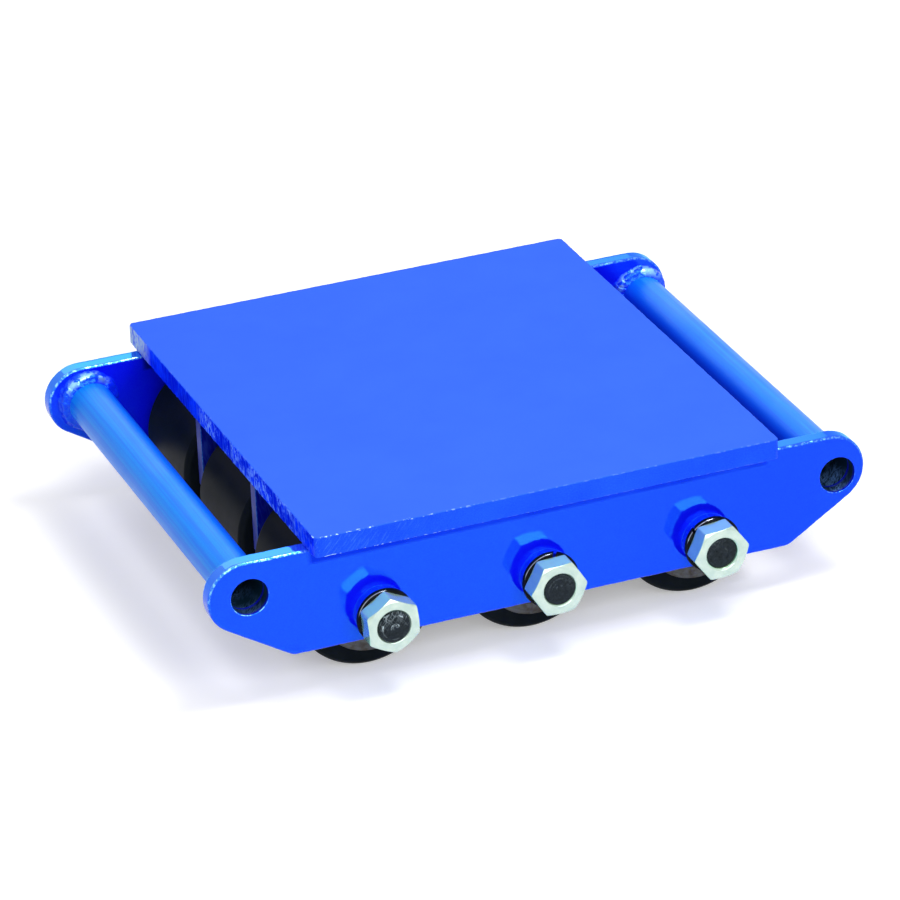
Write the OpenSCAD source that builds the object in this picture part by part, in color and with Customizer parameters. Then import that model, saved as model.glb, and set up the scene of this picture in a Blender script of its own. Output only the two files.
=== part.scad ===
// Machine skate: a low welded steel frame that carries a machine on nine rollers.
// Three through axles each hold three wide rollers, one in each bay of the frame.
// A tow tube joins the side plates at each end. Millimetres, +X along the travel,
// Y along the axles, Z up, with the floor at zero and the rollers standing on it.

/* [Top plate] */
// Length of the top plate along the travel
plate_l = 282; // [262:1:296]
// Width of the top plate across the axles
plate_w = 315; // [304:1:350]
// Thickness of the top plate
plate_t = 12.5; // [8:0.5:20]
// Corner radius of the top plate, seen from above
plate_corner_r = 3; // [1:0.5:10]

/* [Side plates] */
// Width of the frame over the outer faces of the side plates
frame_w = 290; // [270:1:300]
// Thickness of each side plate
side_t = 10; // [6:0.5:14]
// Depth of the side plates below the axle line
side_depth = 17; // [15:0.5:24]
// Half length of the straight lower edge of a side plate
side_foot = 149.5; // [145:0.5:156]
// Radius where the lower edge turns up to the lug
side_corner_r = 8; // [2:0.5:14]
// Distance from the middle of the frame to the end of a lug
lug_reach = 200; // [196:1:215]
// Radius of the rounded lugs
lug_r = 21.5; // [20.5:0.5:24]

/* [Ribs] */
// Thickness of the two ribs between the bays
rib_t = 8; // [5:0.5:12]
// Setback of the rib ends from the ends of the top plate
rib_setback = 4; // [1:0.5:12]
// Corner cut off the lower end of each rib
rib_chamfer = 16; // [6:1:30]

/* [Tow tubes] */
// Outer diameter of the tow tubes
tube_d = 27; // [25:0.5:29]
// Bore of the tow tubes and of the holes in the lugs
bore_d = 22; // [18:0.5:23]
// Shift of the left bore from its lug's centre, towards the rollers
left_bore_in = 3; // [0:0.5:4]
// Shift of the right bore from its lug's centre, away from the rollers
right_bore_out = 4.5; // [0:0.5:5]
// Drop of the right bore below its lug's centre
right_bore_drop = 3.5; // [0:0.5:4]

/* [Rollers] */
// Outer diameter of the tyres
tyre_d = 86; // [80:1:92]
// Width of each tyre
tyre_w = 70; // [50:1:76]
// Chamfer on the edges of the tyres
tyre_chamfer = 2.5; // [0.5:0.5:5]
// Outer diameter of the steel cores
core_d = 62; // [56:1:70]
// Bore of a core between its two bearings
core_bore_d = 40; // [36:0.5:43]
// Gap between a core's end and the frame
core_gap = 1.5; // [0.8:0.1:3]
// Gap between the top of the tyres and the top plate
roof_gap = 3.5; // [2:0.5:12]

/* [Bearings] */
// Outside diameter of a bearing
bearing_d = 47; // [46:0.5:52]
// Width of a bearing
bearing_w = 14; // [12:0.5:16]
// Recess of a bearing into the end of its core
bearing_recess = 2; // [1:0.5:5]
// Diameter of the balls
ball_d = 8; // [6:0.25:8.5]
// Number of balls in a bearing
ball_count = 8; // [6:1:9]
// Thickness of the inner ring at its shoulders
inner_ring_t = 4; // [3.5:0.25:4.5]
// Thickness of the outer ring at its shoulders
outer_ring_t = 4; // [3.5:0.25:4.5]
// Thickness of the bearing shields
shield_t = 0.8; // [0.4:0.1:1.2]
// Gap between a shield and the inner ring
shield_gap = 0.5; // [0.2:0.1:0.8]
// Running clearance of the balls, measured along a radius
ball_gap = 0.05; // [0.02:0.01:0.09]
// Wall of the sleeves and rings that keep the bearings apart on the axle
spacer_t = 3; // [2:0.5:3.5]

/* [Axles] */
// Diameter of the axles
axle_d = 20; // [18:0.5:21]
// Distance between neighbouring axles
axle_pitch = 100; // [96:0.5:106]
// Rounding of the axle ends
axle_round = 1.5; // [0.5:0.25:3]
// Clearance of the axles in the plates, measured along a radius
axle_gap = 0.25; // [0:0.05:0.5]
// Stand-out of the left, middle and right axle ends from their nuts
axle_stands = [1.5, 0, -1.5]; // [-3:0.5:3]

/* [Axle fasteners] */
// Diameter of the round bosses outside the side plates
boss_d = 30; // [26:0.5:33]
// Thickness of the round bosses
boss_t = 6; // [3:0.5:10]
// Outside diameter of the spring washers
washer_d = 35; // [30:0.5:38]
// Thickness of the spring washers
washer_t = 5; // [3:0.5:7]
// Width of the split in a spring washer
washer_split = 2; // [1:0.25:4]
// Width of the nuts across their flats
nut_af = 30; // [28:0.5:36]
// Thickness of the nuts
nut_t = 12; // [9:0.5:18]
// Depth that the chamfer cuts off a nut's corners, measured along a radius
nut_corner_cut = 1; // [0.5:0.25:3]
// Chamfer angle on the outer face of the nuts
nut_chamfer_a = 30; // [15:1:40]
// Countersink at the mouth of a nut, measured along a radius
nut_sink = 0.8; // [0.2:0.1:1.5]
// Turn of the left, middle and right nut
nut_turns = [34, 2, 6]; // [0:1:59]
// Turn of the split in the left, middle and right spring washer
split_turns = [200, 79, 134]; // [0:1:359]
// Slant of that split from the axle's direction
split_slant = 30; // [0:1:40]

/* [Welds] */
// Leg of the weld beads along the plates
bead = 5; // [3:0.5:5.5]
// Leg of the weld beads round the tow tubes
tube_bead = 4.5; // [2:0.5:6]
// Length of each stitch of weld along a rib
stitch_l = 40; // [20:1:60]
// Number of stitches along each side of a rib
stitch_count = 3; // [2:1:4]
// Distance from the end of the top plate to the end of a long bead
bead_setback = 10; // [4:1:30]

/* [Hidden] */
$fn = 72;
paint = [0.08, 0.30, 1.0];
zinc = [0.80, 0.84, 0.80];
black_steel = [0.10, 0.10, 0.11];
tyre_black = [0.06, 0.07, 0.07];
core_grey = [0.36, 0.32, 0.28];
bearing_steel = [0.62, 0.63, 0.66];
// Small lap that keeps a cut clear of the face it opens
eps = 1;

// Heights: the rollers stand on the floor and the plates are built over them
axle_z = tyre_d / 2;
roof_z = tyre_d + roof_gap;
side_bottom = axle_z - side_depth;
// Across the axles: two side walls and two ribs leave three equal bays
inner_w = frame_w - 2 * side_t;
bay_w = (inner_w - 2 * rib_t) / 3;
bay_step = bay_w + rib_t;
core_l = bay_w - 2 * core_gap;
// Along the travel
axle_xs = [-axle_pitch, 0, axle_pitch];
bay_ys = [-bay_step, 0, bay_step];
lug_x = lug_reach - lug_r;
lug_z = roof_z - lug_r;
left_bore = [-lug_x + left_bore_in, lug_z];
right_bore = [lug_x + right_bore_out, lug_z - right_bore_drop];
// Where the slope from the lower edge to the lug touches both rounds
slope_from = [side_foot, side_bottom + side_corner_r];
slope_to = [lug_x, lug_z];
slope_run = slope_to - slope_from;
slope_a = atan2(slope_run[1], slope_run[0]) - acos((side_corner_r - lug_r) / norm(slope_run));
slope_n = [cos(slope_a), sin(slope_a)];
// The ball circle runs midway between the two rings
ball_circle_r = (axle_d / 2 + inner_ring_t + bearing_d / 2 - outer_ring_t) / 2;
// The stack outside a side plate
washer_y = frame_w / 2 + boss_t;
nut_y = washer_y + washer_t;
nut_face_y = nut_y + nut_t;

// A bar along Y between two places, centred on an axle
module bar(d, y0, y1) {
    translate([0, y1, axle_z])
        rotate([90, 0, 0])
            cylinder(d = d, h = y1 - y0);
}

// A ring along Y between two places, centred on an axle
module ring(outer, inner, y0, y1) {
    difference() {
        bar(outer, y0, y1);
        bar(inner, y0 - eps, y1 + eps);
    }
}

// A wall that stands across Y, drawn in X and Z, with its middle at y
module wall(y, t) {
    translate([0, y + t / 2, 0])
        rotate([90, 0, 0])
            linear_extrude(t)
                children();
}

// A profile of radius and length, turned round an axle with its start at y
module turned(y) {
    translate([0, y, axle_z])
        rotate([-90, 0, 0])
            rotate_extrude()
                children();
}

// Repeats a piece at the near and the far side, mirrored
module both_sides() {
    children();
    mirror([0, 1, 0]) children();
}

module at_axle(i) {
    translate([axle_xs[i], 0, 0]) children();
}

// Outline of a side plate with its lugs, without holes
module side_outline() {
    union() {
        polygon([
            [-lug_x, roof_z],
            [lug_x, roof_z],
            slope_to + lug_r * slope_n,
            slope_from + side_corner_r * slope_n,
            [side_foot, side_bottom],
            [-side_foot, side_bottom],
            [-slope_from[0] - side_corner_r * slope_n[0], slope_from[1] + side_corner_r * slope_n[1]],
            [-slope_to[0] - lug_r * slope_n[0], slope_to[1] + lug_r * slope_n[1]]
        ]);
        for (s = [-1, 1]) {
            translate([s * lug_x, lug_z]) circle(r = lug_r);
            translate([s * side_foot, slope_from[1]]) circle(r = side_corner_r);
        }
    }
}

module axle_holes() {
    for (x = axle_xs)
        translate([x, axle_z]) circle(d = axle_d + 2 * axle_gap);
}

module top_plate() {
    color(paint)
        translate([0, 0, roof_z])
            linear_extrude(plate_t)
                union() {
                    square([plate_l, plate_w - 2 * plate_corner_r], center = true);
                    square([plate_l - 2 * plate_corner_r, plate_w], center = true);
                    for (x = [-1, 1], y = [-1, 1])
                        translate([x * (plate_l / 2 - plate_corner_r), y * (plate_w / 2 - plate_corner_r)])
                            circle(r = plate_corner_r);
                }
}

module side_plate(s) {
    color(paint)
        wall(s * (frame_w - side_t) / 2, side_t)
            difference() {
                side_outline();
                axle_holes();
                translate(left_bore) circle(d = bore_d);
                translate(right_bore) circle(d = bore_d);
            }
}

module rib(s) {
    end_x = plate_l / 2 - rib_setback;
    color(paint)
        wall(s * bay_step / 2, rib_t)
            difference() {
                polygon([
                    [-end_x, roof_z],
                    [end_x, roof_z],
                    [end_x, side_bottom + rib_chamfer],
                    [end_x - rib_chamfer, side_bottom],
                    [rib_chamfer - end_x, side_bottom],
                    [-end_x, side_bottom + rib_chamfer]
                ]);
                axle_holes();
            }
}

module tow_tube(at) {
    color(paint)
        translate([at[0], 0, at[1]])
            rotate([90, 0, 0])
                difference() {
                    cylinder(d = tube_d, h = inner_w, center = true);
                    cylinder(d = bore_d, h = inner_w + 2 * eps, center = true);
                }
}

// Rounded fillet of weld between a tow tube and the inner face of a side plate
module tube_weld(at) {
    intersection() {
        translate([at[0], -inner_w / 2, at[1]])
            rotate([-90, 0, 0])
                rotate_extrude()
                    translate([tube_d / 2, 0])
                        intersection() {
                            circle(r = tube_bead);
                            square(tube_bead);
                        }
        wall(-(inner_w - tube_bead) / 2, tube_bead + eps) side_outline();
    }
}

module tube_welds() {
    color(paint)
        both_sides() {
            tube_weld(left_bore);
            tube_weld(right_bore);
        }
}

// A bead of weld under the top plate that lies against a wall on its -Y side
module plate_weld(x, y, l) {
    translate([x - l / 2, y, roof_z])
        rotate([0, 90, 0])
            linear_extrude(l)
                intersection() {
                    circle(r = bead);
                    square(bead);
                }
}

module plate_welds() {
    run = plate_l - 2 * bead_setback;
    rib_run = plate_l - 2 * rib_setback - 2 * bead_setback;
    step = (rib_run - stitch_l) / (stitch_count - 1);
    color(paint)
        both_sides() {
            plate_weld(0, -inner_w / 2, run);
            mirror([0, 1, 0]) plate_weld(0, frame_w / 2, run);
            for (i = [0 : stitch_count - 1]) {
                x = (stitch_l - rib_run) / 2 + i * step;
                plate_weld(x, (rib_t - bay_step) / 2, stitch_l);
                mirror([0, 1, 0]) plate_weld(x, (rib_t + bay_step) / 2, stitch_l);
            }
        }
}

// A through axle with rounded ends
module axle(i) {
    half = nut_face_y + axle_stands[i];
    color(black_steel)
        at_axle(i)
            turned(-half)
                union() {
                    square([axle_d / 2 - axle_round, 2 * half]);
                    translate([0, axle_round]) square([axle_d / 2, 2 * (half - axle_round)]);
                    for (y = [axle_round, 2 * half - axle_round])
                        translate([axle_d / 2 - axle_round, y]) circle(r = axle_round);
                }
}

module axle_bosses() {
    color(paint)
        both_sides()
            for (i = [0 : 2])
                at_axle(i) ring(boss_d, axle_d + 2 * axle_gap, -washer_y, -frame_w / 2);
}

// A spring washer, cut through along a slant
module spring_washer(i) {
    at_axle(i)
        difference() {
            ring(washer_d, axle_d + 2 * axle_gap, -nut_y, -washer_y);
            translate([0, -(washer_y + nut_y) / 2, axle_z])
                rotate([0, -split_turns[i], 0])
                    translate([washer_d / 4 + eps, 0, 0])
                        rotate([split_slant, 0, 0])
                            cube([washer_d / 2 + eps, 4 * washer_t, washer_split], center = true);
        }
}

module spring_washers() {
    color(black_steel)
        both_sides()
            for (i = [0 : 2]) spring_washer(i);
}

// A hexagon nut with its outer corners chamfered and its mouth countersunk
module axle_nut(i) {
    corner_r = nut_af / 2 / cos(30);
    face_r = corner_r - nut_corner_cut;
    drop = (nut_corner_cut + eps) * tan(nut_chamfer_a);
    at_axle(i)
        difference() {
            intersection() {
                translate([0, -nut_y, axle_z])
                    rotate([90, 0, 0])
                        rotate([0, 0, nut_turns[i]])
                            cylinder(r = corner_r, h = nut_t, $fn = 6);
                turned(-nut_face_y)
                    polygon([
                        [0, 0],
                        [face_r, 0],
                        [corner_r + eps, drop],
                        [corner_r + eps, nut_t + eps],
                        [0, nut_t + eps]
                    ]);
            }
            bar(axle_d, -nut_face_y - eps, -nut_y + eps);
            turned(-nut_face_y)
                polygon([
                    [0, -eps],
                    [axle_d / 2 + nut_sink + eps, -eps],
                    [axle_d / 2, nut_sink],
                    [0, nut_sink]
                ]);
        }
}

module axle_nuts() {
    color(zinc)
        both_sides()
            for (i = [0 : 2]) axle_nut(i);
}

// Places something at both ends of a roller, with +Y pointing into the roller
module at_roller_ends(i, j) {
    at_axle(i)
        translate([0, bay_ys[j], 0])
            for (m = [0, 1])
                mirror([0, m, 0])
                    translate([0, -core_l / 2, 0]) children();
}

module distance_rings() {
    color(bearing_steel)
        for (i = [0 : 2], j = [0 : 2])
            at_roller_ends(i, j)
                ring(axle_d + 2 * spacer_t, axle_d, -core_gap, bearing_recess);
}

// The groove that the balls run in, as a solid to take away
module ball_groove() {
    turned(bearing_recess + bearing_w / 2)
        translate([ball_circle_r, 0])
            circle(r = ball_d / 2 + ball_gap);
}

module bearing_inner_rings() {
    color(bearing_steel)
        for (i = [0 : 2], j = [0 : 2])
            at_roller_ends(i, j)
                difference() {
                    ring(axle_d + 2 * inner_ring_t, axle_d, bearing_recess, bearing_recess + bearing_w);
                    ball_groove();
                }
}

module bearing_sleeves() {
    half = core_l / 2 - bearing_recess - bearing_w;
    color(bearing_steel)
        for (i = [0 : 2], j = [0 : 2])
            at_axle(i)
                translate([0, bay_ys[j], 0])
                    ring(axle_d + 2 * spacer_t, axle_d, -half, half);
}

module tyre(i, j) {
    color(tyre_black)
        at_axle(i)
            turned(bay_ys[j] - tyre_w / 2)
                polygon([
                    [core_d / 2, 0],
                    [tyre_d / 2 - tyre_chamfer, 0],
                    [tyre_d / 2, tyre_chamfer],
                    [tyre_d / 2, tyre_w - tyre_chamfer],
                    [tyre_d / 2 - tyre_chamfer, tyre_w],
                    [core_d / 2, tyre_w]
                ]);
}

module core(i, j) {
    seat = bearing_recess + bearing_w;
    color(core_grey)
        at_axle(i)
            turned(bay_ys[j] - core_l / 2)
                polygon([
                    [bearing_d / 2, 0],
                    [core_d / 2, 0],
                    [core_d / 2, core_l],
                    [bearing_d / 2, core_l],
                    [bearing_d / 2, core_l - seat],
                    [core_bore_d / 2, core_l - seat],
                    [core_bore_d / 2, seat],
                    [bearing_d / 2, seat]
                ]);
}

// The outer rings and the shields of a roller's two bearings
module bearings(i, j) {
    ring_r = bearing_d / 2 - outer_ring_t;
    hub_r = axle_d / 2 + inner_ring_t + shield_gap;
    color(bearing_steel)
        at_roller_ends(i, j) {
            difference() {
                ring(bearing_d, 2 * ring_r, bearing_recess, bearing_recess + bearing_w);
                ball_groove();
            }
            for (y = [bearing_recess + shield_t, bearing_recess + bearing_w - 2 * shield_t])
                ring(2 * ring_r, 2 * hub_r, y, y + shield_t);
        }
}

module balls(i, j) {
    color(bearing_steel)
        at_roller_ends(i, j)
            translate([0, bearing_recess + bearing_w / 2, axle_z])
                for (k = [0 : ball_count - 1])
                    rotate([0, 360 * k / ball_count, 0])
                        translate([ball_circle_r, 0, 0])
                            sphere(d = ball_d, $fn = 36);
}

top_plate();
side_plate(-1);  // side_plate_near
side_plate(1);  // side_plate_far
rib(-1);  // rib_near
rib(1);  // rib_far
tow_tube(left_bore);  // tow_tube_left
tow_tube(right_bore);  // tow_tube_right
tube_welds();
plate_welds();
axle(0);  // axle_left
axle(1);  // axle_middle
axle(2);  // axle_right
axle_bosses();
spring_washers();
axle_nuts();
distance_rings();
bearing_inner_rings();
bearing_sleeves();
tyre(0, 0);  // tyre_left_near
tyre(0, 1);  // tyre_left_centre
tyre(0, 2);  // tyre_left_far
tyre(1, 0);  // tyre_middle_near
tyre(1, 1);  // tyre_middle_centre
tyre(1, 2);  // tyre_middle_far
tyre(2, 0);  // tyre_right_near
tyre(2, 1);  // tyre_right_centre
tyre(2, 2);  // tyre_right_far
core(0, 0);  // core_left_near
core(0, 1);  // core_left_centre
core(0, 2);  // core_left_far
core(1, 0);  // core_middle_near
core(1, 1);  // core_middle_centre
core(1, 2);  // core_middle_far
core(2, 0);  // core_right_near
core(2, 1);  // core_right_centre
core(2, 2);  // core_right_far
bearings(0, 0);  // bearings_left_near
bearings(0, 1);  // bearings_left_centre
bearings(0, 2);  // bearings_left_far
bearings(1, 0);  // bearings_middle_near
bearings(1, 1);  // bearings_middle_centre
bearings(1, 2);  // bearings_middle_far
bearings(2, 0);  // bearings_right_near
bearings(2, 1);  // bearings_right_centre
bearings(2, 2);  // bearings_right_far
balls(0, 0);  // balls_left_near
balls(0, 1);  // balls_left_centre
balls(0, 2);  // balls_left_far
balls(1, 0);  // balls_middle_near
balls(1, 1);  // balls_middle_centre
balls(1, 2);  // balls_middle_far
balls(2, 0);  // balls_right_near
balls(2, 1);  // balls_right_centre
balls(2, 2);  // balls_right_far
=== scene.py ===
import math

import bmesh
import bpy
import numpy as np
from mathutils import Matrix, Vector
from mathutils.geometry import tessellate_polygon


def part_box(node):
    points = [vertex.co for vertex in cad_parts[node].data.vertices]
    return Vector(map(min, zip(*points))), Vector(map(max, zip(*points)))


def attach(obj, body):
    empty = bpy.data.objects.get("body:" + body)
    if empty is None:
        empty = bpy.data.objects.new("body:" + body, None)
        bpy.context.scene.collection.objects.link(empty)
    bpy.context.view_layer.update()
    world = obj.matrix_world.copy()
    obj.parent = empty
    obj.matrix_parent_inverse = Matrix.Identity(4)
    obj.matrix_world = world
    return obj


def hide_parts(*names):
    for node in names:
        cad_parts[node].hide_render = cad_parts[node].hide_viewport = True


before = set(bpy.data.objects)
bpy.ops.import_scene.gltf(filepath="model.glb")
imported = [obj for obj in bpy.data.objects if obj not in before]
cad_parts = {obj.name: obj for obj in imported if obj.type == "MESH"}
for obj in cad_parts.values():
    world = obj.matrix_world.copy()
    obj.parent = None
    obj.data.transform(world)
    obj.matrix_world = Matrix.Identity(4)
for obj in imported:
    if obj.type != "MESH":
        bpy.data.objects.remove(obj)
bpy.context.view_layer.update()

scene = bpy.context.scene
fullTurn = 2 * math.pi
quarterTurn = math.pi / 2
columnNames = ("left", "middle", "right")   # the three axles, along X
rowNames = ("near", "centre", "far")        # the three bays, along Y
print("frame loaded:", len(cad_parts), "nodes")

# The camera stands where the photograph's stood. Angles are in degrees, lengths in metres
cameraLook = {
    "azimuth": -21.045, "elevation": 26.098, "roll": -2.297, "distance": 3.0881,
    "aim": (0.00339, 0.00432, 0.05370), "lens": 210.53, "sensor": 36.0,
}


def makeCamera(look):
    a, e, r = (math.radians(look[key]) for key in ("azimuth", "elevation", "roll"))
    back = Vector((math.sin(a) * math.cos(e), -math.cos(a) * math.cos(e), math.sin(e)))
    right = Vector((math.cos(a), math.sin(a), 0))
    up = back.cross(right)
    turnedRight = right * math.cos(r) + up * math.sin(r)
    turnedUp = up * math.cos(r) - right * math.sin(r)
    data = bpy.data.cameras.new("photoCamera")
    data.lens, data.sensor_width = look["lens"], look["sensor"]
    data.clip_start, data.clip_end = 0.05, 60
    camera = bpy.data.objects.new("photoCamera", data)
    scene.collection.objects.link(camera)
    place = Matrix((turnedRight, turnedUp, back)).transposed().to_4x4()
    place.translation = Vector(look["aim"]) + back * look["distance"]
    camera.matrix_world = place
    scene.camera = camera


makeCamera(cameraLook)


# Node wiring. A socket or node knows its own tree, so any of them can say where a new node goes

def feed(socket, value):
    if isinstance(value, bpy.types.NodeSocket):
        socket.id_data.links.new(value, socket)
    else:
        socket.default_value = value


def feedAll(node, values):
    for label, value in values.items():
        feed(node.inputs[label], value)


def put(owner, kind, values=None, **settings):
    made = owner.id_data.nodes.new("ShaderNode" + kind)
    for key, value in settings.items():
        setattr(made, key, value)
    feedAll(made, values or {})
    return made


def firstSocket(values):
    return next(value for value in values if isinstance(value, bpy.types.NodeSocket))


def calc(operation, *values, clamp=False):
    made = put(firstSocket(values), "Math", operation=operation, use_clamp=clamp)
    for socket, value in zip(made.inputs, values):
        feed(socket, value)
    return made.outputs[0]


def times(first, *others):
    for other in others:
        first = calc("MULTIPLY", first, other)
    return first


def vectorCalc(operation, *values):
    return put(firstSocket(values), "VectorMath", dict(enumerate(values)), operation=operation).outputs[0]


def ranged(value, low, high, toLow=0.0, toHigh=1.0):
    # Straight between low and high, flat outside them
    return put(value, "MapRange", {0: value, 1: low, 2: high, 3: toLow, 4: toHigh}).outputs[0]


def noiseOf(vector, scale, detail=2.0, roughness=0.5, distortion=0.0):
    values = {"Vector": vector, "Scale": scale, "Detail": detail}
    values.update({"Roughness": roughness, "Distortion": distortion})
    return put(vector, "TexNoise", values).outputs[0]


def turnedTo(vector, turn):
    made = put(vector, "VectorRotate", {"Vector": vector, "Rotation": turn}, rotation_type="EULER_XYZ")
    return made.outputs[0]


def axesOf(vector):
    return put(vector, "SeparateXYZ", {0: vector}).outputs


def facingOf(surface):
    # Which way the face looks, along the object's own axes
    return axesOf(put(surface, "TexCoord").outputs["Normal"])


def painted(surface, name):
    # A value that the mesh carries at its points
    return put(surface, "Attribute", attribute_name=name).outputs["Fac"]


def mixed(amount, first, second):
    made = put(firstSocket((amount, first, second)), "Mix", data_type="RGBA")
    for index, value in ((0, amount), (6, first), (7, second)):
        feed(made.inputs[index], value)
    return made.outputs[2]


def newGroup(name, build, **numbers):
    # A shader group that takes a Vector and named numbers. Their sockets go to build, which returns what comes
    # out of the group, by name
    tree = bpy.data.node_groups.new(name, "ShaderNodeTree")
    tree.interface.new_socket("Vector", in_out="INPUT", socket_type="NodeSocketVector")
    for label, value in numbers.items():
        socket = tree.interface.new_socket(label, in_out="INPUT", socket_type="NodeSocketFloat")
        socket.default_value = value
    made = build(tree.nodes.new("NodeGroupInput").outputs)
    for label in made:
        tree.interface.new_socket(label, in_out="OUTPUT", socket_type="NodeSocketFloat")
    feedAll(tree.nodes.new("NodeGroupOutput"), made)
    return tree


def useGroup(group, vector, **numbers):
    return put(vector, "Group", {"Vector": vector, **numbers}, node_tree=group).outputs


def sprayedPaint(given):
    # Sprayed enamel: fine peel, long waves under it and a few pits
    vector = given["Vector"]
    peel = noiseOf(vector, given["Peel"], 3.0, 0.55)
    waves = noiseOf(vector, given["Waves"], 2.0, 0.4)
    cells = put(vector, "TexVoronoi", {"Vector": vector, "Scale": given["Pits"]})
    pit = ranged(cells.outputs["Distance"], 0.0, 0.16, 1.0, 0.0)
    rare = ranged(noiseOf(vector, given["Waves"], 1.0), 0.55, 0.62)
    height = calc("MULTIPLY_ADD", waves, 0.9, times(peel, 0.35))
    return {
        "Height": calc("SUBTRACT", height, times(pit, rare, 1.2)),
        "Mottle": noiseOf(vector, 24.0, 5.0, 0.6),
        "Grain": ranged(noiseOf(vector, 1500.0, 2.0, 0.7), 0.35, 0.65),
    }


def longMarks(given):
    # Long marks along Z of the given coordinates, such as a cut or drawn face has
    size = put(given["Vector"], "CombineXYZ", {0: given["Fine"], 1: given["Fine"], 2: given["Length"]})
    marks = noiseOf(vectorCalc("MULTIPLY", given["Vector"], size.outputs[0]), 1.0, 4.0, 0.65, 0.6)
    return {"Mask": ranged(marks, given["Low"], given["High"]), "Height": marks}


def brokenGlints(given):
    # Painted highlight broken into patches: where the edge value is high and a noise rises over the threshold
    patches = noiseOf(given["Vector"], given["Scale"], 3.0, 0.6)
    found = ranged(patches, given["Threshold"], calc("ADD", given["Threshold"], 0.06))
    return {"Mask": calc("MULTIPLY", found, given["Edge"], clamp=True)}


def thinLines(given):
    # Thin bright lines: the ridges of two noises, each stretched its own way
    found = []
    for turn, seed in (((0.3, 0.5, 0.9), 0.0), ((1.1, -0.6, -0.4), 7.3)):
        long = vectorCalc("MULTIPLY", turnedTo(given["Vector"], turn), (1.0, 0.14, 0.14))
        moved = vectorCalc("ADD", long, (seed, seed, seed))
        value = noiseOf(moved, times(given["Scale"], 8.0), 2.0, 0.6)
        ridge = calc("ABSOLUTE", calc("SUBTRACT", value, 0.5))
        found.append(ranged(ridge, 0.0, given["Width"], 1.0, 0.0))
    patches = ranged(noiseOf(given["Vector"], given["Scale"], 2.0), given["Share"], 0.75)
    return {"Mask": calc("MULTIPLY", calc("MAXIMUM", *found), patches, clamp=True)}


def turningMarks(given):
    # Turning marks round the axles: a noise of the distance from the nearest axle, and of the place along Y
    vector, pitch = given["Vector"], given["Pitch"]
    parts = axesOf(vector)
    half = calc("DIVIDE", pitch, 2.0)
    shifted = calc("ADD", parts[0], calc("ADD", half, times(pitch, 4.0)))
    x = calc("SUBTRACT", calc("MODULO", shifted, pitch), half)
    z = calc("SUBTRACT", parts[2], given["Axle"])
    radius = calc("SQRT", calc("ADD", times(x, x), times(z, z)))
    flat = put(vector, "CombineXYZ", {0: radius, 1: parts[1]}).outputs[0]
    joined = vectorCalc("ADD", flat, vectorCalc("MULTIPLY", vector, (3.0, 3.0, 3.0)))
    fine = noiseOf(flat, given["Lines"], 3.0, 0.6)
    broken = noiseOf(joined, given["Lines"], 2.0, 0.5)
    return {"Height": calc("MULTIPLY_ADD", broken, 0.3, fine), "Radius": radius}


paintRelief = newGroup("paintRelief", sprayedPaint, Peel=700.0, Waves=60.0, Pits=90.0)
streaks = newGroup("streaks", longMarks, Fine=900.0, Length=60.0, Low=0.45, High=0.62)
edgeGlints = newGroup("edgeGlints", brokenGlints, Edge=0.0, Scale=220.0, Threshold=0.6)
scratches = newGroup("scratches", thinLines, Scale=60.0, Share=0.5, Width=0.012)
latheMarks = newGroup("latheMarks", turningMarks, Pitch=0.1, Axle=0.043, Lines=2600.0)
print("shared node groups built")


def newMaterial(name):
    material = bpy.data.materials.new(name)
    material.use_nodes = True
    surface = material.node_tree.nodes["Principled BSDF"]
    vector = put(surface, "TexCoord").outputs["Object"]
    return material, surface, vector


def dress(surface, look, height, values):
    # Constants go straight onto the sockets. The relief is a height between 0 and 1, bumpDepth metres deep
    for label, key in (("IOR", "ior"), ("Specular IOR Level", "specular"), ("Specular Tint", "tint")):
        if key in look:
            surface.inputs[label].default_value = look[key]
    feedAll(surface, values)
    bump = put(surface, "Bump", {"Strength": look["bump"], "Distance": look["bumpDepth"], "Height": height})
    feed(surface.inputs["Normal"], bump.outputs[0])


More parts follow.
